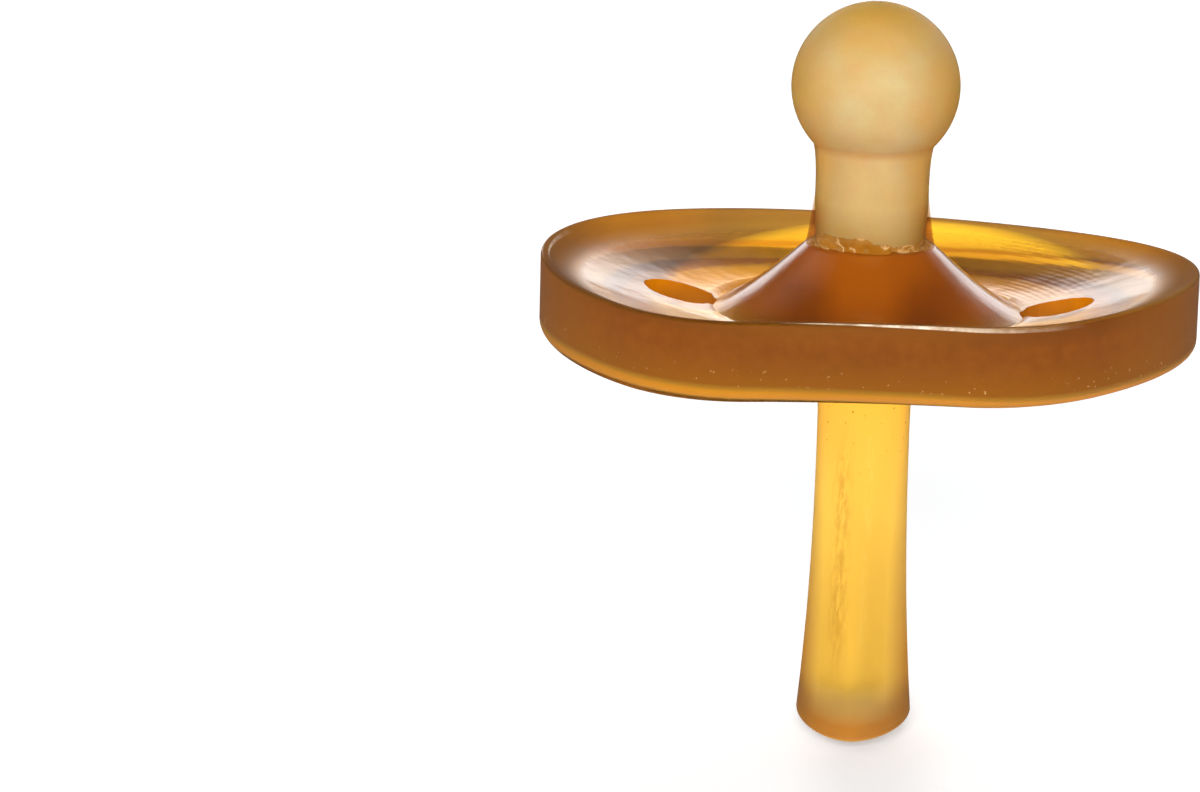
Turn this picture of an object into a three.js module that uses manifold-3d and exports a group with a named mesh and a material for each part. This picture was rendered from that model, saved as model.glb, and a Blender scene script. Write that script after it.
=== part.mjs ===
// A baby's pacifier moulded from natural rubber: an amber shield with a nose notch and two
// vent holes, a pale hollow teat held in the shield's collar, and a paddle handle whose round
// foot plugs the shield's centre from behind.
//
// Millimetres, +Z towards the mouth. The shield's long way is X and its nose notch faces -Y.
// The part stands on the end of its handle at Z = 0, and X = 0, Y = 0 is the middle of the
// whole outline, so the teat's axis passes a little on the notch side of it.
import * as THREE from 'three';
import { mergeVertices } from 'three/addons/utils/BufferGeometryUtils.js';
import Module from 'manifold-3d';

const wasm = await Module();
wasm.setup();

// ---- driving dimensions -------------------------------------------------------------------

const GAP = 0.3;                  // clearance between pieces that touch or are bonded

// Shield outline: four tangent arcs from the middle of the notch to the middle of the chin side.
const NOTCH_FROM_AXIS = 19.4;
const NOTCH_RADIUS = 33.3;
const NOTCH_TURN = 14.0;          // degrees, bending outwards
const LOBE_RADIUS = 11.07;
const LOBE_TURN = 56.5;
const SIDE_RADIUS = 23.4;
const SIDE_TURN = 98.4;

// Shield section, as heights above the back of its rim at the middle of the notch.
const RIM_HEIGHT = 6.3;
const BOW = 1.25;                 // the two ends stand this much nearer the face
const RIM_BAND = 3.4;             // width of the smooth back of the rim
const RIM_EDGE = 1.0;             // rounding of the rim's back edge
const LIP_WIDTH = 0.9;
const LIP_EDGE = 0.25;
const RECESS_DRAFT = 0.9;
const RECESS_DEPTH = 1.0;         // the web's level back lies this far inside the rim
const WEB_TOP = 3.3;              // lowest height of the dish, just outside the cone
const WEB_INNER_RADIUS = 12.6;
const DISH_POWER = 1.35;
const VENT_RADIUS = 2.9;
const VENT_FROM_AXIS = 14.8;

// Cone, collar and the stepped bore through them.
const CONE_PROFILE = [[11.2, 3.8], [9.7, 4.7], [8.2, 5.8], [6.8, 7.0], [5.8, 7.9], [5.1, 8.5]];
const COLLAR_PROFILE = [[4.92, 9.3], [4.78, 10.2], [4.7, 11.0]];
const SOCKET_RADIUS = 4.35;
const SOCKET_FLOOR = 7.6;
const BORE_RADIUS = 3.0;
const PLUG_SEAT = 4.0;
const PLUG_SEAT_RADIUS = 5.85;

// Teat: a neck that swells into a ball.
const BULB_CENTRE = 21.1;
const BULB_RADIUS = 6.6;
const NECK_RADIUS = 4.45;
const NECK_WAIST = 13.2;
const TEAT_WALL = 1.25;
const TEAT_FOOT = SOCKET_FLOOR + 1.0;

// Handle: how far it reaches behind the rim, and its half widths [height, across, along].
const HANDLE_REACH = 30.6;
const HANDLE_STATIONS = [
  [-0.2, 3.9, 4.2], [-3.0, 3.7, 4.35], [-8.0, 3.65, 5.0], [-14.0, 3.72, 6.3],
  [-20.0, 3.92, 7.4], [-25.5, 4.25, 8.2], [-29.0, 4.53, 8.45],
];
const HANDLE_END_EDGE = 1.1;      // rounding around the end face
const HANDLE_END_CROWN = 0.6;     // how far the end face swells
const HANDLE_END_FLAT = 0.45;     // share of the end face that is flat
const HANDLE_SQUARENESS = 2.3;    // 2 is an ellipse, more is squarer
const PIN_TOP = 6.6;

// ---- the frame ----------------------------------------------------------------------------

const rad = THREE.MathUtils.degToRad;

// One stretch of the outline: a circular arc from a point, left turns positive.
function arc(from, heading, radius, turn, steps) {
  const side = Math.sign(turn);
  const centre = new THREE.Vector2(-Math.sin(heading), Math.cos(heading))
    .multiplyScalar(radius * side).add(from);
  const points = [];
  for (let i = 0; i <= steps; i += 1) {
    const angle = heading + (turn * i) / steps;
    const inward = new THREE.Vector2(-Math.sin(angle), Math.cos(angle));
    points.push({ at: centre.clone().addScaledVector(inward, -radius * side), inward, angle });
  }
  return points;
}

// The shield's whole outline about the teat's axis, counter-clockwise from the notch.
function shieldOutline() {
  const turns = [-rad(NOTCH_TURN), rad(LOBE_TURN), rad(SIDE_TURN)];
  const notch = arc(new THREE.Vector2(0, -NOTCH_FROM_AXIS), 0, NOTCH_RADIUS, turns[0], 4);
  const lobe = arc(notch.at(-1).at, notch.at(-1).angle, LOBE_RADIUS, turns[1], 7);
  const side = arc(lobe.at(-1).at, lobe.at(-1).angle, SIDE_RADIUS, turns[2], 13);
  const closing = Math.PI - side.at(-1).angle;
  const chinRadius = side.at(-1).at.x / Math.sin(closing);
  const chin = arc(side.at(-1).at, side.at(-1).angle, chinRadius, closing, 7);
  const right = [...notch, ...lobe.slice(1), ...side.slice(1), ...chin.slice(1)];
  const left = right.slice(1, -1).reverse().map(({ at, inward }) => ({
    at: new THREE.Vector2(-at.x, at.y),
    inward: new THREE.Vector2(-inward.x, inward.y),
  }));
  return [...right, ...left];
}

const OUTLINE = shieldOutline();
const HALF_WIDTH = Math.max(...OUTLINE.map((p) => p.at.x));
const NOTCH_SIDE = Math.min(...OUTLINE.map((p) => p.at.y));
const CHIN_SIDE = Math.max(...OUTLINE.map((p) => p.at.y));
const AXIS_Y = -(NOTCH_SIDE + CHIN_SIDE) / 2;
const RIM_BACK = HANDLE_REACH;

// ---- solids from stacked rings ------------------------------------------------------------

// A closed body from rings of points that correspond one to one. A loop of rings joins the
// last to the first; otherwise the first and last rings are closed with flat fans.
function stack(rings, isLoop) {
  const count = rings[0].length;
  const positions = rings.flat().flatMap((p) => [p.x, p.y, p.z]);
  const index = [];
  const bands = isLoop ? rings.length : rings.length - 1;
  for (let r = 0; r < bands; r += 1) {
    const low = r * count;
    const high = ((r + 1) % rings.length) * count;
    for (let i = 0; i < count; i += 1) {
      const j = (i + 1) % count;
      index.push(low + i, low + j, high + j, low + i, high + j, high + i);
    }
  }
  if (!isLoop) {
    const top = (rings.length - 1) * count;
    for (let i = 1; i < count - 1; i += 1) {
      index.push(0, i + 1, i);
      index.push(top, top + i, top + i + 1);
    }
  }
  const geometry = new THREE.BufferGeometry();
  geometry.setAttribute('position', new THREE.Float32BufferAttribute(positions, 3));
  geometry.setIndex(index);
  return geometry;
}

function circle(radius, z) {
  return OUTLINE.map(({ at }) => {
    const angle = Math.atan2(at.y, at.x);
    return new THREE.Vector3(radius * Math.cos(angle), radius * Math.sin(angle), z);
  });
}

// How much nearer the face the shield stands at a place along it.
const bow = (x) => BOW * (x / HALF_WIDTH) ** 2;

// A ring that follows the outline at a distance inside it.
function inset(distance, z) {
  return OUTLINE.map(({ at, inward }) => {
    const p = at.clone().addScaledVector(inward, distance);
    return new THREE.Vector3(p.x, p.y, z + bow(p.x));
  });
}

// The dish: rings that pass from the outline's shape to a circle around the cone.
function dish(fromInset, radius, steps) {
  const outer = inset(fromInset, 0);
  const inner = circle(radius, 0);
  const rings = [];
  for (let s = 0; s <= steps; s += 1) {
    rings.push(outer.map((p, i) => {
      const q = p.clone().lerp(inner[i], s / steps);
      const edge = OUTLINE[i].at.length();
      const depth = Math.max(0, (Math.hypot(q.x, q.y) - WEB_INNER_RADIUS) / (edge - WEB_INNER_RADIUS));
      const slope = depth ** DISH_POWER;
      q.z = WEB_TOP + slope * (RIM_HEIGHT - WEB_TOP) + bow(q.x);
      return q;
    }));
  }
  return rings;
}

// The level floor of the recess, from the rim's inner wall to the handle's seat.
function recessFloor(steps) {
  const outer = inset(RIM_BAND + RECESS_DRAFT, 0);
  const inner = circle(PLUG_SEAT_RADIUS, 0);
  const rings = [];
  for (let s = 0; s <= steps; s += 1) {
    rings.push(outer.map((p, i) => {
      const q = p.clone().lerp(inner[i], s / steps);
      q.z = RECESS_DEPTH + bow(q.x);
      return q;
    }));
  }
  return rings;
}

// ---- boolean cut --------------------------------------------------------------------------

function toSolid(geometry) {
  const bare = geometry.clone();
  bare.deleteAttribute('normal');
  bare.deleteAttribute('uv');
  const merged = mergeVertices(bare, 1e-5);
  return new wasm.Manifold(new wasm.Mesh({
    numProp: 3,
    vertProperties: new Float32Array(merged.attributes.position.array),
    triVerts: new Uint32Array(merged.index.array),
  }));
}

function toGeometry(solid) {
  const mesh = solid.getMesh();
  const geometry = new THREE.BufferGeometry();
  geometry.setAttribute('position', new THREE.BufferAttribute(new Float32Array(mesh.vertProperties), 3));
  geometry.setIndex(new THREE.BufferAttribute(new Uint32Array(mesh.triVerts), 1));
  geometry.computeVertexNormals();
  return geometry;
}

// ---- the pieces, each about the teat's axis with Z = 0 at the back of the rim --------------

function shieldGeometry() {
  const bore = [
    circle(SOCKET_RADIUS, COLLAR_PROFILE.at(-1)[1]),
    circle(SOCKET_RADIUS, SOCKET_FLOOR),
    circle(BORE_RADIUS, SOCKET_FLOOR),
    circle(BORE_RADIUS, PLUG_SEAT),
    circle(PLUG_SEAT_RADIUS, PLUG_SEAT),
  ];
  const back = recessFloor(5).reverse();
  const rim = [
    inset(RIM_BAND, 0),
    inset(RIM_EDGE, 0),
    inset(RIM_EDGE * 0.3, RIM_EDGE * 0.3),
    inset(0, RIM_EDGE),
    inset(0, RIM_HEIGHT - LIP_EDGE),
    inset(LIP_EDGE, RIM_HEIGHT),
  ];
  const front = dish(LIP_WIDTH, WEB_INNER_RADIUS, 6);
  const cone = [...CONE_PROFILE, ...COLLAR_PROFILE].map(([radius, z]) => circle(radius, z));
  let solid = toSolid(stack([...bore, ...back, ...rim, ...front, ...cone], true));
  for (const side of [-1, 1]) {
    const punch = new THREE.CylinderGeometry(VENT_RADIUS, VENT_RADIUS, RIM_HEIGHT, 32);
    punch.rotateX(Math.PI / 2);
    punch.translate(side * VENT_FROM_AXIS, 0, RIM_HEIGHT / 2);
    solid = solid.subtract(toSolid(punch));
  }
  return toGeometry(solid);
}

// Radius of the teat's outside at a height: the ball, or the neck that flares into it.
function teatRadius(z) {
  const offset = z - BULB_CENTRE;
  const ball = Math.sqrt(Math.max(0, BULB_RADIUS ** 2 - offset ** 2));
  if (offset > 0) return ball;
  const flare = 0.012 * (z - NECK_WAIST) ** 2;
  return Math.max(NECK_RADIUS + flare, ball);
}

function teatGeometry() {
  const outside = [];
  const collarTop = COLLAR_PROFILE.at(-1)[1] + GAP;
  outside.push(new THREE.Vector2(SOCKET_RADIUS - GAP, TEAT_FOOT));
  outside.push(new THREE.Vector2(SOCKET_RADIUS - GAP, collarTop));
  const neckTop = BULB_CENTRE - Math.sqrt(BULB_RADIUS ** 2 - (NECK_RADIUS + 0.2) ** 2);
  for (let s = 0; s <= 5; s += 1) {
    const z = THREE.MathUtils.lerp(collarTop, neckTop, s / 5);
    outside.push(new THREE.Vector2(teatRadius(z), z));
  }
  const start = Math.asin((neckTop - BULB_CENTRE) / BULB_RADIUS);
  for (let s = 1; s <= 12; s += 1) {
    const angle = THREE.MathUtils.lerp(start, Math.PI / 2, s / 12);
    const across = s === 12 ? 0 : BULB_RADIUS * Math.cos(angle);
    outside.push(new THREE.Vector2(across, BULB_CENTRE + BULB_RADIUS * Math.sin(angle)));
  }
  const hollowRadius = BULB_RADIUS - TEAT_WALL;
  const hollowNeck = NECK_RADIUS - TEAT_WALL - GAP;
  const hollowStart = -Math.acos(hollowNeck / hollowRadius);
  const inside = [];
  for (let s = 0; s <= 9; s += 1) {
    const angle = THREE.MathUtils.lerp(Math.PI / 2, hollowStart, s / 9);
    const across = s === 0 ? 0 : hollowRadius * Math.cos(angle);
    inside.push(new THREE.Vector2(across, BULB_CENTRE + hollowRadius * Math.sin(angle)));
  }
  inside.push(new THREE.Vector2(hollowNeck, TEAT_FOOT));
  const profile = [...outside, ...inside, outside[0].clone()];
  return toGeometry(toSolid(new THREE.LatheGeometry(profile, 36).rotateX(Math.PI / 2)));
}

// A ring of the handle: a rounded section with its own half widths.
function handleRing(across, along, z) {
  const ring = [];
  for (let i = 0; i < 36; i += 1) {
    const angle = (2 * Math.PI * i) / 36;
    const [c, s] = [Math.cos(angle), Math.sin(angle)];
    const power = 2 / HANDLE_SQUARENESS;
    const x = across * Math.sign(c) * Math.abs(c) ** power;
    const y = along * Math.sign(s) * Math.abs(s) ** power;
    ring.push(new THREE.Vector3(x, y, z));
  }
  return ring;
}

function handleGeometry() {
  const [, endAcross, endAlong] = HANDLE_STATIONS.at(-1);
  const rings = [];
  for (const scale of [HANDLE_END_FLAT, 0.7]) {
    const lift = HANDLE_END_CROWN * (scale ** 2 - HANDLE_END_FLAT ** 2);
    rings.push(handleRing(endAcross * scale, endAlong * scale, lift - HANDLE_REACH));
  }
  for (const degrees of [80, 50, 20]) {
    const shrink = HANDLE_END_EDGE * (1 - Math.cos(rad(degrees)));
    const z = HANDLE_STATIONS.at(-1)[0] - HANDLE_END_EDGE * Math.sin(rad(degrees));
    rings.push(handleRing(endAcross - shrink, endAlong - shrink, z));
  }
  for (const [z, across, along] of [...HANDLE_STATIONS].reverse()) {
    rings.push(handleRing(across, along, z));
  }
  const round = (radius, z) => {
    const ring = [];
    for (let i = 0; i < 36; i += 1) {
      const angle = (2 * Math.PI * i) / 36;
      ring.push(new THREE.Vector3(radius * Math.cos(angle), radius * Math.sin(angle), z));
    }
    return ring;
  };
  const footRadius = PLUG_SEAT_RADIUS - 3 * GAP;
  rings.push(round(footRadius, RECESS_DEPTH));
  rings.push(round(footRadius, PLUG_SEAT - GAP));
  rings.push(round(BORE_RADIUS - GAP, PLUG_SEAT - GAP));
  rings.push(round(BORE_RADIUS - GAP, PIN_TOP));
  return toGeometry(toSolid(stack(rings, false)));
}

// A bead of cured rubber cement: a ring with a hexagonal section.
function beadGeometry(innerRadius, outerRadius, low, high) {
  const middle = (low + high) / 2;
  const bulge = (outerRadius - innerRadius) / 6;
  const section = [
    [innerRadius + bulge, low], [outerRadius - bulge, low], [outerRadius, middle],
    [outerRadius - bulge, high], [innerRadius + bulge, high], [innerRadius, middle],
    [innerRadius + bulge, low],
  ].map(([radius, z]) => new THREE.Vector2(radius, z));
  return toGeometry(toSolid(new THREE.LatheGeometry(section, 36).rotateX(Math.PI / 2)));
}

// ---- assembly -----------------------------------------------------------------------------

function piece(name, geometry, color, roughness) {
  const material = new THREE.MeshStandardMaterial({ color, roughness, metalness: 0 });
  const mesh = new THREE.Mesh(geometry, material);
  mesh.name = name;
  mesh.position.set(0, AXIS_Y, RIM_BACK);
  return mesh;
}

const AMBER = '#c4761b';
const PALE = '#d9ac68';

const pacifier = new THREE.Group();
pacifier.add(piece('shield', shieldGeometry(), AMBER, 0.3));
pacifier.add(piece('teat', teatGeometry(), PALE, 0.45));
pacifier.add(piece('handle', handleGeometry(), AMBER, 0.3));
pacifier.add(piece('teat_bond', beadGeometry(
  BORE_RADIUS + GAP, SOCKET_RADIUS - GAP, SOCKET_FLOOR + GAP, TEAT_FOOT - GAP,
), PALE, 0.3));
pacifier.add(piece('handle_bond', beadGeometry(
  PLUG_SEAT_RADIUS - 2 * GAP, PLUG_SEAT_RADIUS - GAP, RECESS_DEPTH, RECESS_DEPTH + 2 * GAP,
), AMBER, 0.25));

export default pacifier;
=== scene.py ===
"""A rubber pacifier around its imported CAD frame: a clear amber shield, a milky teat, a paddle handle.

Lengths are in millimetres in the shape functions, about the teat's axis with z = 0 at the flat
back of the shield's rim, and place() turns them into metres in the row frame.
"""
import math

import bmesh
import bpy
import numpy as np
from mathutils import Matrix, Vector, noise


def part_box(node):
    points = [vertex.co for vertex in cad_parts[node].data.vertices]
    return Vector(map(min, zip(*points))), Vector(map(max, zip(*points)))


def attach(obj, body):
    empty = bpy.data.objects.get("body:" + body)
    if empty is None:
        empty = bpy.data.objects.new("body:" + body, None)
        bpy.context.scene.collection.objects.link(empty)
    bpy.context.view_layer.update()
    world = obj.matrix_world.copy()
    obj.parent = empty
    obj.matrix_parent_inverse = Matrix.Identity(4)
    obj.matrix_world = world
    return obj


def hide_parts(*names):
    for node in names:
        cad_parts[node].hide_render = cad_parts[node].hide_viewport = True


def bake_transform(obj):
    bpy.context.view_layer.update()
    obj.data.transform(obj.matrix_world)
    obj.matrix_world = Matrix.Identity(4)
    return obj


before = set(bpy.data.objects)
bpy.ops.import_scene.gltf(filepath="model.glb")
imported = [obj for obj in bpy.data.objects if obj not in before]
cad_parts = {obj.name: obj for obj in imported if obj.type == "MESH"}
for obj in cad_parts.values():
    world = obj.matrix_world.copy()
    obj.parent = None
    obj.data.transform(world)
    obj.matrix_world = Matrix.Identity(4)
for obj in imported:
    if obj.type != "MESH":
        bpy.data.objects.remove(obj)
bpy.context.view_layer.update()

MM = 0.001
SHIELD_LOW, SHIELD_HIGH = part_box("shield")
TEAT_LOW, TEAT_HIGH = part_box("teat")
AXIS_Y = (TEAT_LOW.y + TEAT_HIGH.y) / 2 / MM      # the teat's axis in the row frame
RIM_BACK = SHIELD_LOW.z / MM                      # height of the rim's flat back
HALF_WIDTH = SHIELD_HIGH.x / MM

# ---- dimensions in mm: those of the CAD model, with the small changes that the looks need --

NOTCH_FROM_AXIS = 19.4
NOTCH_ARC = (33.3, -14.0)         # radius, turn in degrees
LOBE_ARC = (11.07, 56.5)
SIDE_ARC = (23.4, 98.4)
RIM_HEIGHT = 6.3
BOW = 1.25
TWIST = -0.001                    # mm of height per mm along and per mm across, not in the CAD model
RIM_BAND = 3.4
SOFT_DRAFT = 2.4                  # the recess's wall, rounder and shallower than in the CAD model
SOFT_DEPTH = 0.65
WEB_TOP = 3.3
WEB_RADIUS = 12.6
DISH_POWER = 1.35
VENT_RADIUS = 2.9
VENT_FROM_AXIS = 14.8
CONE = [(11.2, 3.8), (9.7, 4.7), (8.2, 5.8), (6.8, 7.0), (5.8, 7.9), (5.1, 8.5)]
COLLAR = [(4.95, 9.1), (4.82, 9.9), (4.68, 10.9), (4.56, 11.8), (4.49, 12.3)]
BORE_RADIUS = 3.0
BULB_CENTRE = 21.1
BULB_RADIUS = 6.6
NECK_RADIUS = 4.45
TEAT_FOOT = 8.45
TEAT_WALL = 1.25
HANDLE_REACH = 30.6
HANDLE_STATIONS = [
    (-0.2, 3.9, 4.2), (-3.0, 3.7, 4.35), (-8.0, 3.65, 5.0), (-14.0, 3.72, 6.3),
    (-20.0, 3.92, 7.4), (-25.5, 4.25, 8.2), (-29.0, 4.53, 8.45), (-29.4, 4.55, 8.46),
]
SQUARENESS = (2.3, 1.75)          # of the handle's section at its root and at its end
LIP_EDGE = 0.28
TOUCH = 0.02                      # how far bonded pieces run into each other, so no air shows
AROUND = 288                      # points round a ring


# ---- small tools --------------------------------------------------------------------------

def fractal(x, y, z, scale, seed=0.0, octaves=3):
    """Smooth noise about 0, with features of about 1 / scale."""
    return noise.fractal(Vector((x * scale + seed, y * scale - seed, z * scale)), 1.0, 2.0, octaves)


def place(rings):
    """Points about the teat's axis in mm, moved into the row frame in metres."""
    return (np.concatenate(rings) + np.array([0, AXIS_Y, RIM_BACK])) * MM


def build(name, rings, closed):
    """A mesh from rings of matching points. A closed stack joins its last ring to its first."""
    count = len(rings[0])
    bands = len(rings) if closed else len(rings) - 1
    faces = []
    for r in range(bands):
        low, high = r * count, ((r + 1) % len(rings)) * count
        for i in range(count):
            j = (i + 1) % count
            faces.append((low + i, low + j, high + j, high + i))
    if not closed:
        faces.append(tuple(reversed(range(count))))
        faces.append(tuple(range((len(rings) - 1) * count, len(rings) * count)))
    mesh = bpy.data.meshes.new(name)
    mesh.from_pydata(place(rings).tolist(), [], faces)
    mesh.update()
    obj = bpy.data.objects.new(name, mesh)
    bpy.context.scene.collection.objects.link(obj)
    face_outwards(obj)
    return obj


def face_outwards(obj, sharp_degrees=38):
    """Outward faces, smooth shading, and a sharp edge only where the surface really turns."""
    bm = bmesh.new()
    bm.from_mesh(obj.data)
    bmesh.ops.recalc_face_normals(bm, faces=bm.faces)
    limit = math.radians(sharp_degrees)
    for edge in bm.edges:
        edge.smooth = not edge.is_manifold or edge.calc_face_angle(0) < limit
    for face in bm.faces:
        face.smooth = True
    bm.to_mesh(obj.data)
    bm.free()
    obj.data.update()


def smooth_curve(points, steps):
    """A Catmull-Rom curve through points of any dimension, as an array."""
    p = np.array([points[0], *points, points[-1]], float)
    rows = []
    for i in range(1, len(p) - 2):
        for t in np.linspace(0, 1, steps, endpoint=False):
            a, b, c, d = p[i - 1], p[i], p[i + 1], p[i + 2]
            rows.append(0.5 * (2 * b + (c - a) * t + (2 * a - 5 * b + 4 * c - d) * t ** 2
                               + (3 * b - a - 3 * c + d) * t ** 3))
    rows.append(p[-2])
    return np.array(rows)


def arc(start, heading, radius, turn, steps):
    """Points and inward normals of one arc of the outline, left turns positive."""
    side = math.copysign(1, turn)
    centre = start + radius * side * np.array([-math.sin(heading), math.cos(heading)])
    angles = heading + turn * np.linspace(0, 1, steps + 1)
    inward = np.stack([-np.sin(angles), np.cos(angles)], 1)
    return centre - radius * side * inward, inward, angles[-1]


def outline():
    """The shield's outline and its inward normals, counter-clockwise from the notch's middle."""
    quarter = AROUND // 2
    notch_steps, lobe_steps, side_steps = (round(quarter * share) for share in (0.13, 0.2, 0.45))
    chin_steps = quarter - notch_steps - lobe_steps - side_steps
    at, heading = np.array([0.0, -NOTCH_FROM_AXIS]), 0.0
    points, normals = [at[None]], [np.array([[0.0, 1.0]])]
    for (radius, degrees), steps in ((NOTCH_ARC, notch_steps), (LOBE_ARC, lobe_steps),
                                     (SIDE_ARC, side_steps)):
        p, n, heading = arc(at, heading, radius, math.radians(degrees), steps)
        points.append(p[1:])
        normals.append(n[1:])
        at = p[-1]
    closing = math.pi - heading
    p, n, heading = arc(at, heading, at[0] / math.sin(closing), closing, chin_steps)
    points, normals = np.concatenate([*points, p[1:]]), np.concatenate([*normals, n[1:]])
    mirror = np.array([-1.0, 1.0])
    return (np.concatenate([points, points[-2:0:-1] * mirror]),
            np.concatenate([normals, normals[-2:0:-1] * mirror]))


OUTLINE, INWARD = outline()
BEARING = np.arctan2(OUTLINE[:, 1], OUTLINE[:, 0])


def circle(radius, z):
    height = np.zeros(len(BEARING)) + z
    return np.stack([radius * np.cos(BEARING), radius * np.sin(BEARING), height], 1)


def bow(x, y):
    """How far the shield bends towards the face at its ends, with the slight twist of soft rubber."""
    return BOW * (x / HALF_WIDTH) ** 2 + TWIST * x * y


def inset(distance, z):
    """A ring that follows the outline at a distance inside it."""
    xy = OUTLINE + INWARD * distance
    return np.column_stack([xy, z + bow(*xy.T)])


def dish(first_inset, radius, steps):
    """Rings from the outline's shape to a circle round the cone, along the dish's hollow."""
    outer, inner = inset(first_inset, 0), circle(radius, 0)
    edge = np.hypot(*OUTLINE.T)
    rings = []
    for share in np.linspace(0, 1, steps + 1):
        ring = outer + (inner - outer) * share
        depth = (np.hypot(ring[:, 0], ring[:, 1]) - WEB_RADIUS) / (edge - WEB_RADIUS)
        slope = np.clip(depth, 0, None) ** DISH_POWER
        ring[:, 2] = WEB_TOP + slope * (RIM_HEIGHT - WEB_TOP) + bow(ring[:, 0], ring[:, 1])
        rings.append(ring)
    return rings


def flat_back(steps):
    """Rings over the recess's level floor, from its wall to the middle."""
    outer, inner = inset(RIM_BAND + SOFT_DRAFT, 0), circle(0.2, 0)
    rings = []
    for share in np.linspace(0, 1, steps + 1):
        ring = outer + (inner - outer) * share
        ring[:, 2] = SOFT_DEPTH + bow(ring[:, 0], ring[:, 1])
        rings.append(ring)
    return rings


def foot_wave(bearing):
    """How far the teat's rippled lower edge strays from level, at a bearing round the axis."""
    return 0.5 * fractal(math.cos(bearing), math.sin(bearing), 0, 1.6, 11.0)


# ---- the pieces ---------------------------------------------------------------------------

def make_shield():
    wave = np.array([foot_wave(b) for b in BEARING])
    back = flat_back(36)[::-1]
    wall = []
    for share in np.linspace(0.94, 0.06, 12):
        wall.append(inset(RIM_BAND + SOFT_DRAFT * share, SOFT_DEPTH * share * share * (3 - 2 * share)))
    band = [inset(d, 0) for d in (RIM_BAND, 2.6, 1.8, 1.2)]
    side = [inset(1.0 - math.sin(a), 1.0 - math.cos(a)) for a in np.linspace(0.15, math.pi / 2, 7)]
    side += [inset(0, z) for z in (1.8, 2.6, 3.4, 4.2, 5.0)]
    side += [inset(LIP_EDGE * (1 - math.cos(a)), RIM_HEIGHT - LIP_EDGE * (1 - math.sin(a)))
             for a in np.linspace(0, math.pi / 2, 5)]
    front = [inset(0.6, RIM_HEIGHT - 0.01)] + dish(0.95, WEB_RADIUS, 30)
    cone = [circle(r, z) for r, z in smooth_curve([(12.2, 3.36), *CONE], 4)]
    seat = [circle(4.75, 8.62), circle(teat_radius(TEAT_FOOT) - TOUCH, TEAT_FOOT + wave + 0.05)]
    seat += [circle(r, TEAT_FOOT + wave * r / 4.3 + TOUCH) for r in (3.0, 1.5, 0.2)]
    shield = build("shield_moulding", back + wall + band + side + front + cone + seat, False)
    cut_vents(shield)
    return shield


def make_flare():
    """The thin flare that the shield's rubber runs up round the sides and back of the neck."""
    from_front = np.abs((BEARING + math.pi / 2 + math.pi) % (2 * math.pi) - math.pi)
    share = np.clip((from_front - math.radians(35)) / math.radians(45), 0, 1)
    fullness = 0.15 + 0.85 * share * share * (3 - 2 * share)
    outside = [(5.08, 8.55), *COLLAR]
    inside = [(teat_radius(z) - TOUCH, z) for z in (12.3, 11.5, 10.5, 9.5, 8.7)]
    rings = [circle(r, z) for r, z in inside]
    rings += [circle(teat_radius(8.2) - TOUCH, 8.3), circle(4.5, 8.3)]
    for r, z in smooth_curve(outside, 4):
        neck = teat_radius(z)
        rings.append(circle(neck + (r - neck) * fullness, z))
    return build("neck_flare", rings, True)


def cut_vents(shield):
    """Punches the two vent holes, with the slightly torn edge that a punch leaves in rubber."""
    for side in (-1, 1):
        rings = []
        for z in np.linspace(0.2, 5.2, 11):
            ring = []
            for a in np.linspace(0, 2 * math.pi, 72, endpoint=False):
                ragged = 0.10 * fractal(math.cos(a) * 3, math.sin(a) * 3, z * 0.6, 0.5, 7.0 * side)
                ragged += 0.07 * fractal(math.cos(a) * 3, math.sin(a) * 3, z * 0.2, 2.0, 3.0 + side)
                r = VENT_RADIUS + ragged
                ring.append((side * VENT_FROM_AXIS + r * math.cos(a), r * math.sin(a), z))
            rings.append(np.array(ring))
        punch = build("punch", rings, False)
        cut = shield.modifiers.new("vent", "BOOLEAN")
        cut.operation, cut.solver, cut.object = "DIFFERENCE", "EXACT", punch
        depsgraph = bpy.context.evaluated_depsgraph_get()
        cut_mesh = bpy.data.meshes.new_from_object(shield.evaluated_get(depsgraph))
        shield.modifiers.clear()
        old = shield.data
        shield.data = cut_mesh
        bpy.data.meshes.remove(old)
        bpy.data.objects.remove(punch)
    face_outwards(shield)


NECK = [(16.47, 4.71), (15.6, 4.56), (14.4, 4.47), (13.2, NECK_RADIUS), (12.0, 4.46),
        (11.0, 4.41), (10.0, 4.35), (9.0, 4.31), (7.5, 4.28)]


def teat_radius(z):
    """Radius of the teat's neck at a height."""
    heights, radii = zip(*sorted(NECK))
    return float(np.interp(z, heights, radii))


def make_teat():
    ball_end = -math.acos(NECK[0][1] / BULB_RADIUS)
    outside = [(BULB_RADIUS * math.cos(a), BULB_CENTRE + BULB_RADIUS * math.sin(a))
               for a in np.linspace(math.pi / 2 - 0.02, ball_end, 54)]
    outside += [(r, z) for z, r in smooth_curve(NECK, 6)[1:] if z > TEAT_FOOT]
    outside.append((teat_radius(TEAT_FOOT), TEAT_FOOT))
    hollow = BULB_RADIUS - TEAT_WALL
    inside = [(hollow * math.cos(a), BULB_CENTRE + hollow * math.sin(a))
              for a in np.linspace(math.pi / 2 - 0.02, -math.acos(BORE_RADIUS / hollow), 24)]
    inside += [(BORE_RADIUS, z) for z in (14.0, 12.0, 10.0, TEAT_FOOT)]
    angles = np.linspace(0, 2 * math.pi, AROUND // 2, endpoint=False)
    wave = np.array([foot_wave(a) for a in angles])
    rings = []
    for radius, z in outside + inside[::-1]:
        fade = np.clip((9.6 - z) / (9.6 - TEAT_FOOT), 0, 1)
        rings.append(np.stack([radius * np.cos(angles), radius * np.sin(angles), z + wave * fade], 1))
    return build("teat_moulding", rings, True)


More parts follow.
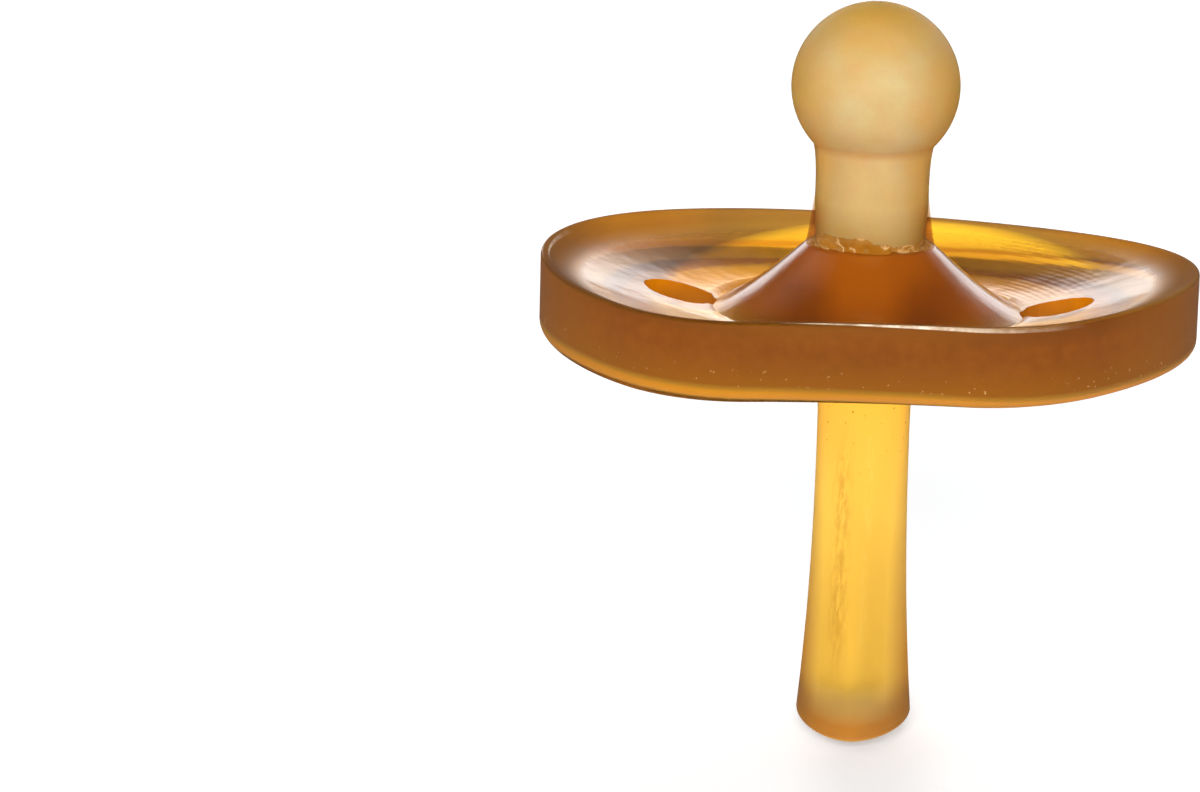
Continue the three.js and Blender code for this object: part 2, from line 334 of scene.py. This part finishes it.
def rounded(across, along, z, count=AROUND // 2):
    """A ring of the handle: an oval, squarish at the root and lens-shaped towards the end."""
    a = np.linspace(0, 2 * math.pi, count, endpoint=False)
    power = 2 / np.interp(-z, (8.0, HANDLE_REACH), SQUARENESS)
    c, s = np.cos(a), np.sin(a)
    return np.stack([across * np.sign(c) * np.abs(c) ** power,
                     along * np.sign(s) * np.abs(s) ** power, np.full(count, z)], 1)


def make_handle():
    end_z, across, along = HANDLE_STATIONS[-1]
    edge, crown = 0.5, 0.7
    rings = [rounded(across * s, along * s, -HANDLE_REACH + crown * s * s) for s in
             (0.04, 0.2, 0.4, 0.6, 0.75)]
    for a in np.linspace(math.radians(78), 0, 9):
        shrink = edge * (1 - math.cos(a))
        rings.append(rounded(across - shrink, along - shrink, end_z - edge * math.sin(a)))
    sides = smooth_curve(HANDLE_STATIONS, 8)[::-1]
    rings += [rounded(a, b, z) for z, a, b in sides[1:]]
    angles = np.linspace(0, 2 * math.pi, AROUND // 2, endpoint=False)
    foot = [(5.2, SOFT_DEPTH - 0.15), (5.7, SOFT_DEPTH + TOUCH), (0.2, SOFT_DEPTH + TOUCH)]
    rings += [np.stack([r * np.cos(angles), r * np.sin(angles), np.full(len(angles), z)], 1)
              for r, z in foot]
    return build("handle_moulding", rings, False)


def make_bead(name, radius, z, thickness, wander, seed):
    """An uneven bead of cured cement round the axis."""
    rings = []
    for a in np.linspace(0, 2 * math.pi, 180, endpoint=False):
        c, s = math.cos(a), math.sin(a)
        size = thickness * (1 + 0.55 * fractal(c, s, 0, 2.3, seed) + 0.3 * fractal(c, s, 1, 6, seed))
        r0 = radius + wander * 0.5 * fractal(c, s, 2, 2.0, seed)
        z0 = z + wander * fractal(c, s, 4, 1.7, seed)
        ring = []
        for b in np.linspace(0, 2 * math.pi, 14, endpoint=False):
            r = r0 + size * math.cos(b)
            ring.append((r * c, r * s, z0 + size * 0.8 * math.sin(b)))
        rings.append(np.array(ring))
    return build(name, rings, True)


def make_teat_cement():
    """The crumpled film of cement that rises unevenly up the foot of the neck."""
    rings = []
    for a in np.linspace(0, 2 * math.pi, 240, endpoint=False):
        c, s = math.cos(a), math.sin(a)
        top = 9.2 + 0.5 * max(0, math.cos(a + 1.95)) ** 3
        top += 0.4 * fractal(c, s, 0, 1.3, 2.0) + 0.24 * fractal(c, s, 3, 4.0, 2.0)
        low = 8.36 + 0.12 * fractal(c, s, 5, 1.8, 4.0)
        ring = []
        for share in np.linspace(0, 1, 9):
            z = low + (top - low) * share
            swell = 0.12 + 0.24 * (1 - share) ** 2 + 0.22 * fractal(c * 3, s * 3, z * 1.6, 1.1, 6.0)
            swell = max(0.03, swell) * min(1.0, 4 * (1 - share) + 0.1)
            ring.append(((teat_radius(z) + swell) * c, (teat_radius(z) + swell) * s, z))
        for share in np.linspace(1, 0, 5):
            z = low + (top - low) * share
            ring.append(((teat_radius(z) - TOUCH) * c, (teat_radius(z) - TOUCH) * s, z - 0.01))
        rings.append(np.array(ring))
    return build("teat_cement", rings, True)


# ---- materials ----------------------------------------------------------------------------

class Nodes:
    """A short way to write a node tree."""

    def __init__(self, material):
        material.use_nodes = True
        self.tree = material.node_tree
        self.tree.nodes.clear()

    def add(self, kind, **values):
        node = self.tree.nodes.new(kind)
        inputs = values.pop("inputs", {})
        for key, value in values.items():
            setattr(node, key, value)
        for key, value in inputs.items():
            if isinstance(value, bpy.types.NodeSocket):
                self.tree.links.new(value, node.inputs[key])
            else:
                node.inputs[key].default_value = value
        return node

    def noise(self, scale, detail=3.0, roughness=0.55, vector=None):
        inputs = {"Scale": scale, "Detail": detail, "Roughness": roughness}
        if vector is not None:
            inputs["Vector"] = vector
        return self.add("ShaderNodeTexNoise", inputs=inputs).outputs["Fac"]

    def spread(self, value, low, high, from_low=0.3, from_high=0.7):
        return self.add("ShaderNodeMapRange", inputs={
            "Value": value, "From Min": from_low, "From Max": from_high,
            "To Min": low, "To Max": high}).outputs["Result"]

    def math(self, operation, *values):
        return self.add("ShaderNodeMath", operation=operation,
                        inputs=dict(enumerate(values))).outputs[0]

    def ramp(self, value, start, end):
        """0 at start and 1 at end, and level beyond them. Start may be the larger."""
        return self.spread(value, 0.0, 1.0, start, end)

    def product(self, first, *rest):
        for factor in rest:
            first = self.math("MULTIPLY", first, factor)
        return first

    def split(self, vector):
        node = self.add("ShaderNodeSeparateXYZ", inputs={"Vector": vector})
        return tuple(node.outputs[i] for i in range(3))

    def spot(self):
        """Where a point lies in millimetres about the teat's axis, from the rim's back."""
        where = self.add("ShaderNodeTexCoord").outputs["Object"]
        return self.add("ShaderNodeVectorMath", operation="MULTIPLY_ADD", inputs={
            0: where, 1: (1 / MM, 1 / MM, 1 / MM), 2: (0.0, -AXIS_Y, -RIM_BACK)}).outputs[0]

    def facing(self):
        """The size of each part of the surface's true normal."""
        normal = self.add("ShaderNodeNewGeometry").outputs["True Normal"]
        size = self.add("ShaderNodeVectorMath", operation="ABSOLUTE", inputs={0: normal})
        return self.split(size.outputs[0])

    def mix(self, share, first, second):
        """A blend of two numbers or of two colours."""
        pair = [(*v, 1) if isinstance(v, tuple) else v for v in (first, second)]
        is_number = isinstance(first, float) or getattr(first, "type", "") == "VALUE"
        kind, slots, out = ("FLOAT", (2, 3), 0) if is_number else ("RGBA", (6, 7), 2)
        return self.add("ShaderNodeMix", data_type=kind, inputs={
            0: share, slots[0]: pair[0], slots[1]: pair[1]}).outputs[out]

    def bump(self, height, distance, strength=1.0, normal=None):
        inputs = {"Height": height, "Distance": distance, "Strength": strength}
        if normal is not None:
            inputs["Normal"] = normal
        return self.add("ShaderNodeBump", inputs=inputs).outputs["Normal"]

    def colours(self, value, *stops):
        ramp = self.add("ShaderNodeValToRGB", inputs={"Fac": value})
        while len(ramp.color_ramp.elements) < len(stops):
            ramp.color_ramp.elements.new(0.5)
        for element, (position, colour) in zip(ramp.color_ramp.elements, stops):
            element.position = position
            element.color = (*colour, 1)
        return ramp.outputs["Color"]


def finish_rubber(n, surface, normal, absorption):
    """Clear rubber that darkens with thickness."""
    colour, rough, clear = surface
    shader = n.add("ShaderNodeBsdfPrincipled", inputs={
        "Base Color": colour, "Roughness": rough, "IOR": 1.5, "Transmission Weight": clear,
        "Normal": normal})
    volume = n.add("ShaderNodeVolumeAbsorption", inputs={
        "Color": (*absorption, 1), "Density": 160.0})
    n.add("ShaderNodeOutputMaterial", inputs={
        "Surface": shader.outputs["BSDF"], "Volume": volume.outputs["Volume"]})


def shield_material():
    """Clear amber rubber: satin brown walls, a glossier dish, deep brown over the cone, with painted light
    and shade on the lip, dish, vents and cone.
    """
    material = bpy.data.materials.new("amber_rubber")
    n = Nodes(material)
    spot = n.spot()
    x, y, z = n.split(spot)
    level = n.facing()[2]
    across = n.math("ABSOLUTE", x)
    radius = n.math("SQRT", n.math("ADD", n.product(x, x), n.product(y, y)))
    height = n.math("SUBTRACT", z, n.product(x, x, BOW / HALF_WIDTH ** 2))
    flat = n.ramp(level, 0.3, 0.7)
    speckle = n.noise(1.1, 3, 0.6, spot)

    upright = n.ramp(level, 0.5, 0.2)
    outside = n.ramp(radius, 18.0, 18.8)
    reach = n.math("ADD", height, n.math("SUBTRACT", n.product(x, x, 0.005), n.product(x, 0.03)))
    # painted shade: the rim's flat top is painted dark brown, less dark towards its ends
    lip_shade = n.ramp(reach, 5.5, 6.0)
    ends = n.product(lip_shade, flat, n.ramp(across, 13.0, 21.0))
    satin = n.ramp(height, 5.2, 5.9)
    # painted light: a lighter golden band along the foot of the rim's outer wall, where light from the floor
    # falls
    floor_glow_strip = n.product(n.ramp(height, 0.15, 0.35), n.ramp(height, 1.15, 0.75), outside)
    wall = n.product(upright, outside, n.ramp(height, 0.7, 1.3))
    shaded = n.product(wall, n.ramp(y, 12.0, 2.0))
    vent = n.product(upright, n.ramp(radius, 18.8, 18.0), n.ramp(height, 0.9, 1.3))
    off = n.math("SUBTRACT", across, VENT_FROM_AXIS)
    from_vent = n.math("SQRT", n.math("ADD", n.product(off, off), n.product(y, y)))
    # painted shade: a dark brown edge along the far side of each vent
    rim = n.product(n.ramp(from_vent, VENT_RADIUS + 0.5, VENT_RADIUS + 0.1), flat, n.ramp(y, -1.0, 1.0), 0.8)
    # painted shade over the near side of the dish, darker on the left than on the right
    near_dish_shade = n.product(n.ramp(y, -2.0, -8.0), flat, n.ramp(height, 2.8, 3.2))
    # painted light and shade on the dish's web: bright orange on the left, dark brown on the right
    web_light_and_shade = n.product(flat, n.ramp(height, 5.0, 4.4), n.ramp(height, 2.6, 3.0))
    cone = n.product(n.ramp(radius, 13.2, 10.2), n.ramp(height, 3.1, 3.4))
    # painted shade: two darker patches on the cone either side of the axis, over the hollow bore
    bore_shade = n.product(n.ramp(across, 1.5, 3.8), n.ramp(across, 8.5, 5.2), n.ramp(height, 8.0, 6.0))
    ragged = n.math("MULTIPLY_ADD", n.ramp(speckle, 0.3, 0.6), 0.7, 0.3)
    # the mould's ragged flash along the near lip, painted as a whitish highlight
    flash_highlight = n.product(n.ramp(height, 6.13, 6.2), n.ramp(level, 0.97, 0.9), outside,
                      n.ramp(y, 6.0, -2.0), n.ramp(x, 17.0, 5.0), ragged)
    # painted highlights: small light specks on the rim's outer wall
    glint_specks = n.product(n.ramp(n.noise(2.6, 2, 0.5, spot), 0.68, 0.72), n.ramp(height, 1.1, 1.4),
                       n.ramp(height, 2.8, 1.8), wall)

    cloud = n.noise(0.09, 3, 0.5, spot)
    colour = n.mix(flat, (0.92, 0.47, 0.045), (0.88, 0.63, 0.03))
    colour = n.mix(n.ramp(cloud, 0.3, 0.7), colour, (0.90, 0.56, 0.035))
    rightwards = n.ramp(x, -4.0, 4.0)
    colour = n.mix(web_light_and_shade, colour, n.mix(rightwards, (0.98, 0.42, 0.01), (0.42, 0.16, 0.01)))
    colour = n.mix(rim, colour, (0.18, 0.06, 0.004))
    # painted shade on the lip's flat top, lighter towards the ends
    colour = n.mix(lip_shade, colour, n.mix(flat, (0.80, 0.37, 0.035), (0.12, 0.062, 0.022)))
    colour = n.mix(ends, colour, (0.42, 0.17, 0.012))
    colour = n.mix(near_dish_shade, colour, n.mix(rightwards, (0.28, 0.11, 0.015), (0.50, 0.23, 0.03)))
    brown = n.mix(n.ramp(speckle, 0.3, 0.7), (0.27, 0.072, 0.003), (0.34, 0.095, 0.005))
    brown = n.mix(n.ramp(height, 4.0, 1.2), brown, (0.37, 0.12, 0.002))
    brown = n.mix(n.ramp(height, 4.8, 6.1), brown, (0.22, 0.065, 0.006))
    brown = n.mix(n.ramp(across, 18.0, 25.0), brown, (0.44, 0.14, 0.0))
    colour = n.mix(shaded, colour, brown)
    colour = n.mix(vent, colour, (0.80, 0.25, 0.0))
    colour = n.mix(floor_glow_strip, colour, (0.92, 0.36, 0.012))
    colour = n.mix(cone, colour, n.mix(bore_shade, (0.40, 0.095, 0.002), (0.26, 0.058, 0.001)))
    colour = n.mix(glint_specks, colour, (0.85, 0.50, 0.16))
    colour = n.mix(flash_highlight, colour, (0.95, 0.80, 0.62))

    normal = n.bump(n.noise(0.22, 2, 0.5, spot), 0.4 * MM, 0.25)
    normal = n.bump(n.noise(1.5, 4, 0.6, spot), 0.03 * MM, 0.35, normal)
    ripples = n.math("SINE", n.product(radius, 11.0))
    tooled = n.product(n.ramp(x, 9.0, 12.0), n.ramp(x, 20.0, 16.0), n.ramp(y, 2.0, 5.0))
    normal = n.bump(n.product(ripples, tooled), 0.02 * MM, 0.2, normal)

    rough = n.mix(flat, 0.48, 0.16)
    rough = n.mix(n.ramp(height, 2.4, 1.6), rough, 0.44)
    rough = n.mix(satin, rough, 0.85)
    rough = n.mix(wall, rough, 0.58)
    rough = n.mix(cone, rough, 0.12)
    rough = n.math("ADD", rough, n.spread(n.noise(0.26, 4, 0.6, spot), -0.03, 0.03))
    clear = n.mix(shaded, n.mix(vent, 0.96, 0.7), 0.45)
    clear = n.mix(floor_glow_strip, clear, 0.55)
    clear = n.mix(ends, clear, 0.6)
    clear = n.mix(cone, clear, 0.22)
    clear = n.mix(flash_highlight, clear, 0.1)
    finish_rubber(n, (colour, rough, clear), normal, (0.74, 0.57, 0.24))
    return material


def handle_material():
    """Yellower clear rubber with faint moulding streaks, its end and flanks painted brown as shade."""
    material = bpy.data.materials.new("amber_handle")
    n = Nodes(material)
    spot = n.spot()
    x, y, z = n.split(spot)
    sideways, _, level = n.facing()
    above_end = n.math("ADD", z, HANDLE_REACH)
    drawn = n.add("ShaderNodeVectorMath", operation="MULTIPLY",
                  inputs={0: spot, 1: (1.0, 1.0, 0.12)}).outputs[0]
    grain = n.noise(3.0, 4, 0.65, drawn)

    # painted shade: the handle's end painted browner on its near side
    tip_shade = n.product(n.ramp(above_end, 5.2, 2.0), n.ramp(level, 0.9, 0.6), n.ramp(y, 2.0, -2.0))
    top = n.ramp(above_end, 18.0, 27.0)
    # painted shade: the handle's side faces darker brown, fading out towards the shield
    flank_shade = n.product(n.ramp(sideways, 0.85, 0.99), n.ramp(above_end, 29.0, 6.0))
    middle = n.product(n.ramp(above_end, 5.0, 10.0), n.ramp(above_end, 26.0, 21.0))
    left = n.math("ABSOLUTE", n.math("ADD", x, 1.25))
    right = n.math("ABSOLUTE", n.math("SUBTRACT", x, 0.75))
    dark_streak = n.product(n.ramp(left, 1.0, 0.1), n.ramp(grain, 0.43, 0.58), middle, 0.75)
    light_streak = n.product(n.ramp(right, 0.5, 0.1), n.ramp(grain, 0.55, 0.4), middle, 0.5)
    dots = n.product(n.ramp(n.noise(2.2, 2, 0.5, spot), 0.70, 0.73), n.ramp(above_end, 20.0, 26.0))

    colour = n.mix(n.ramp(n.noise(0.09, 3, 0.5, spot), 0.3, 0.7), (0.90, 0.62, 0.15), (0.94, 0.68, 0.19))
    colour = n.mix(top, colour, (0.90, 0.50, 0.08))
    colour = n.mix(light_streak, colour, (1.0, 0.80, 0.34))
    colour = n.mix(dark_streak, colour, (0.50, 0.25, 0.05))
    colour = n.mix(dots, colour, (0.30, 0.12, 0.02))
    colour = n.mix(flank_shade, colour, (0.36, 0.13, 0.004))
    colour = n.mix(tip_shade, colour, (0.48, 0.165, 0.0))

    normal = n.bump(n.noise(0.22, 2, 0.5, spot), 0.4 * MM, 0.25)
    normal = n.bump(n.noise(1.5, 4, 0.6, spot), 0.03 * MM, 0.35, normal)
    rough = n.spread(n.noise(0.26, 4, 0.6, spot), 0.42, 0.5)
    clear = n.mix(tip_shade, n.mix(flank_shade, 0.96, 0.75), 0.48)
    finish_rubber(n, (colour, rough, clear), normal, (0.78, 0.69, 0.32))
    return material


def film_material(name, low_colour, high_colour, body, roughness, crease_highlights=0.0):
    """A thin clear film: body gives how solid it looks over the height of the neck's foot."""
    material = bpy.data.materials.new(name)
    n = Nodes(material)
    spot = n.spot()
    (low, at_low), (high, at_high) = body
    colour = n.colours(n.noise(0.3, 3, 0.5, spot), (0.3, low_colour), (0.7, high_colour))
    # painted highlights: thin light wavy lines along the film's folds
    fold = n.math("ABSOLUTE", n.math("SUBTRACT", n.noise(0.6, 2, 0.5, spot), 0.5))
    painted_crease = n.product(n.ramp(fold, 0.035, 0.005), crease_highlights)
    colour = n.mix(painted_crease, colour, (0.98, 0.66, 0.30))
    shader = n.add("ShaderNodeBsdfPrincipled", inputs={
        "Base Color": colour, "Roughness": roughness, "IOR": 1.45,
        "Alpha": n.spread(n.split(spot)[2], at_low, at_high, low, high),
        "Normal": n.bump(n.noise(0.4, 3, 0.5, spot), 0.1 * MM, 0.3)})
    volume = n.add("ShaderNodeVolumeAbsorption", inputs={
        "Color": (0.72, 0.42, 0.05, 1), "Density": 700.0})
    n.add("ShaderNodeOutputMaterial", inputs={
        "Surface": shader.outputs["BSDF"], "Volume": volume.outputs["Volume"]})
    return material


def teat_material():
    """Milky rubber, with painted shade in a deeper ochre at the ball's sides and top, towards the neck's
    foot and in the crease under the ball.
    """
    material = bpy.data.materials.new("milky_rubber")
    n = Nodes(material)
    spot = n.spot()
    cloud = n.noise(0.3, 4, 0.6, spot)
    colour = n.colours(cloud, (0.3, (0.91, 0.60, 0.25)), (0.7, (1.0, 0.76, 0.41)))
    x, _, z = n.split(spot)
    aside = n.product(n.math("ABSOLUTE", x), n.spread(z, 1.4, 1.0, 15.5, 18.0))
    # painted shade: deeper ochre at the ball's sides and top, and partly towards the neck's foot
    edge_shade = n.math("MAXIMUM", n.ramp(aside, 2.2, 6.8), n.ramp(z, 22.5, 27.7))
    edge_shade = n.math("MAXIMUM", edge_shade, n.product(n.ramp(z, 19.0, 9.0), 0.4))
    colour = n.mix(edge_shade, colour, (1.0, 0.53, 0.09))
    # painted shade in the crease where the ball meets the neck
    painted_crease = n.ramp(n.math("ABSOLUTE", n.math("SUBTRACT", z, BULB_CENTRE - 4.75)), 0.5, 0.05)
    colour = n.mix(n.product(painted_crease, 0.5), colour, (0.72, 0.38, 0.09))
    normal = n.bump(n.noise(1.8, 4, 0.6, spot), 0.04 * MM, 0.4)
    rough = n.spread(n.noise(0.3, 4, 0.6, spot), 0.5, 0.6)
    shader = n.add("ShaderNodeBsdfPrincipled", inputs={
        "Base Color": colour, "Roughness": rough, "IOR": 1.3, "Subsurface Weight": 0.8,
        "Subsurface Radius": (1.0, 0.55, 0.25), "Subsurface Scale": 0.004,
        "Transmission Weight": 0.45, "Normal": normal})
    volume = n.add("ShaderNodeVolumeAbsorption", inputs={
        "Color": (0.95, 0.72, 0.30, 1), "Density": 170.0})
    n.add("ShaderNodeOutputMaterial", inputs={
        "Surface": shader.outputs["BSDF"], "Volume": volume.outputs["Volume"]})
    return material


def floor_material():
    """White paper, glowing evenly but for a painted soft shadow in front of the handle's tip, and seen
    through from below.
    """
    material = bpy.data.materials.new("floor")
    n = Nodes(material)
    x, y = n.split(n.add("ShaderNodeTexCoord").outputs["Object"])[:2]
    # painted shadow: the paper's glow dims within about 20 mm of a spot in front of the handle's tip
    sideways = n.product(n.math("SUBTRACT", x, 2 * MM), 3.0)
    ahead = n.math("ADD", y, 14 * MM)
    from_painted_shadow = n.math("SQRT", n.math("ADD", n.product(sideways, sideways), n.product(ahead, ahead)))
    paper = n.add("ShaderNodeBsdfDiffuse", inputs={"Color": (0.89, 0.90, 0.91, 1)})
    glow = n.add("ShaderNodeEmission", inputs={"Strength": n.spread(from_painted_shadow, 0.34, 0.47, 6 * MM, 20 * MM)})
    lit = n.add("ShaderNodeAddShader", inputs={0: paper.outputs[0], 1: glow.outputs[0]})
    clear = n.add("ShaderNodeBsdfTransparent")
    behind = n.add("ShaderNodeNewGeometry").outputs["Backfacing"]
    mix = n.add("ShaderNodeMixShader", inputs={0: behind, 1: lit.outputs[0], 2: clear.outputs[0]})
    n.add("ShaderNodeOutputMaterial", inputs={"Surface": mix.outputs[0]})
    return material


def light_table_material():
    """The glow that the clear rubber is seen against, strongest behind the object."""
    material = bpy.data.materials.new("light_table")
    n = Nodes(material)
    x, y = n.split(n.add("ShaderNodeTexCoord").outputs["Object"])[:2]
    sideways = n.math("DIVIDE", n.math("ABSOLUTE", x), n.math("MAXIMUM", n.math("ADD", y, 0.15), 0.02))
    ahead = n.product(n.ramp(y, -0.06, -0.01), n.ramp(sideways, 0.9, 0.45))
    strength = n.math("MULTIPLY_ADD", ahead, 2.0, 0.45)
    glow = n.add("ShaderNodeEmission", inputs={"Strength": strength})
    clear = n.add("ShaderNodeBsdfTransparent")
    behind = n.add("ShaderNodeNewGeometry").outputs["Backfacing"]
    mix = n.add("ShaderNodeMixShader", inputs={0: behind, 1: glow.outputs[0], 2: clear.outputs[0]})
    n.add("ShaderNodeOutputMaterial", inputs={"Surface": mix.outputs[0]})
    return material


# ---- scene --------------------------------------------------------------------------------

def make_camera():
    """The camera stands before the notch side, looking slightly down."""
    distance, elevation, azimuth, roll = 400.0, 13.41, 4.9, 1.4
    side, lift, lens = -21.01, -3.68, 152.04
    e, a, t = (math.radians(v) for v in (elevation, azimuth, roll))
    back = Vector((math.sin(a) * math.cos(e), -math.cos(a) * math.cos(e), math.sin(e)))
    level = Vector((math.cos(a), math.sin(a), 0))
    above = back.cross(level)
    right = level * math.cos(t) + above * math.sin(t)
    up = above * math.cos(t) - level * math.sin(t)
    data = bpy.data.cameras.new("camera")
    data.sensor_width, data.lens = 36.0, lens
    data.clip_start, data.clip_end = 0.01, 20
    camera = bpy.data.objects.new("camera", data)
    target = Vector((0, AXIS_Y, RIM_BACK))
    at = (target + back * distance + right * side + up * lift) * MM
    turn = Matrix((right, up, back)).transposed().to_4x4()
    camera.matrix_world = Matrix.Translation(at) @ turn
    bpy.context.scene.collection.objects.link(camera)
    bpy.context.scene.camera = camera


def make_world():
    """A dim room with a bright backdrop low behind the object and a soft glow high on one side."""
    world = bpy.data.worlds.new("studio")
    bpy.context.scene.world = world
    n = Nodes(world)
    x, y, z = n.split(n.add("ShaderNodeTexCoord").outputs["Generated"])
    backdrop = n.product(n.ramp(y, 0.6, 0.88), n.ramp(z, 0.40, 0.27), n.ramp(z, 0.02, 0.14), 2.3)
    corner = n.product(n.ramp(y, 0.5, 0.7), n.ramp(x, 0.02, 0.14), n.ramp(z, 0.6, 0.44), n.ramp(z, 0.2, 0.4))
    glow = n.product(n.ramp(x, -0.4, -0.75), n.ramp(z, 0.4, 0.65), 0.7)
    strength = n.math("ADD", n.math("ADD", backdrop, glow), n.math("MULTIPLY_ADD", corner, 0.5, 0.08))
    shade = n.add("ShaderNodeBackground", inputs={"Color": (1, 1, 1, 1), "Strength": strength})
    n.add("ShaderNodeOutputWorld", inputs={"Surface": shade.outputs[0]})


def add_floor(name, height, material):
    bpy.ops.mesh.primitive_plane_add(size=6, location=(0, 0, height))
    floor = bpy.context.object
    floor.name = name
    floor.data.materials.append(material)
    return floor


def add_softbox(name, at, power):
    """A soft light that neither shows in the gloss nor shines through the clear rubber."""
    data = bpy.data.lights.new(name, "AREA")
    data.shape, data.size, data.energy = "SQUARE", 0.6, power
    softbox = bpy.data.objects.new(name, data)
    softbox.location = at
    softbox.rotation_euler = (Vector(at) - Vector((0, 0, 0.03))).to_track_quat("Z", "Y").to_euler()
    softbox.visible_glossy = softbox.visible_transmission = False
    bpy.context.scene.collection.objects.link(softbox)


def make_stage():
    """White paper for the camera, and a light table that only the rubber sees."""
    paper = add_floor("floor", -0.0001, floor_material())
    paper.visible_glossy = paper.visible_transmission = paper.visible_diffuse = False
    table = add_floor("light_table", -0.0004, light_table_material())
    table.visible_camera = table.visible_glossy = table.visible_shadow = False
    add_softbox("back_softbox", (0.05, 0.55, 0.75), 3.0)
    add_softbox("front_softbox", (0.0, -0.95, 0.30), 13.3)
    make_world()
    bpy.context.scene.view_settings.view_transform = "Standard"


def bend_with_teat(obj):
    """Bakes a piece's placement into its mesh."""
    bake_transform(obj)


make_camera()
make_stage()

amber = shield_material()
shield = make_shield()
shield.data.materials.append(amber)
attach(shield, "shield_body")
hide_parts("shield")

teat = make_teat()
teat.data.materials.append(teat_material())
bend_with_teat(teat)
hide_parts("teat")

flare = make_flare()
flare.data.materials.append(film_material(
    "clear_flare", (0.60, 0.30, 0.06), (0.70, 0.38, 0.10), ((8.6, 0.30), (12.2, 0.0)), 0.2))
bend_with_teat(flare)

handle = make_handle()
handle.data.materials.append(handle_material())
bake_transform(handle)
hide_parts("handle")

teat_cement = make_teat_cement()
teat_cement.data.materials.append(film_material(
    "teat_cement", (0.30, 0.10, 0.006), (0.54, 0.22, 0.02), ((8.4, 0.95), (9.9, 0.75)), 0.12, 0.7))
bend_with_teat(teat_cement)
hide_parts("teat_bond")

handle_cement = make_bead("handle_cement", 5.8, SOFT_DEPTH, 0.22, 0.12, 9.0)
handle_cement.data.materials.append(amber)
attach(handle_cement, "shield_body")
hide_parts("handle_bond")
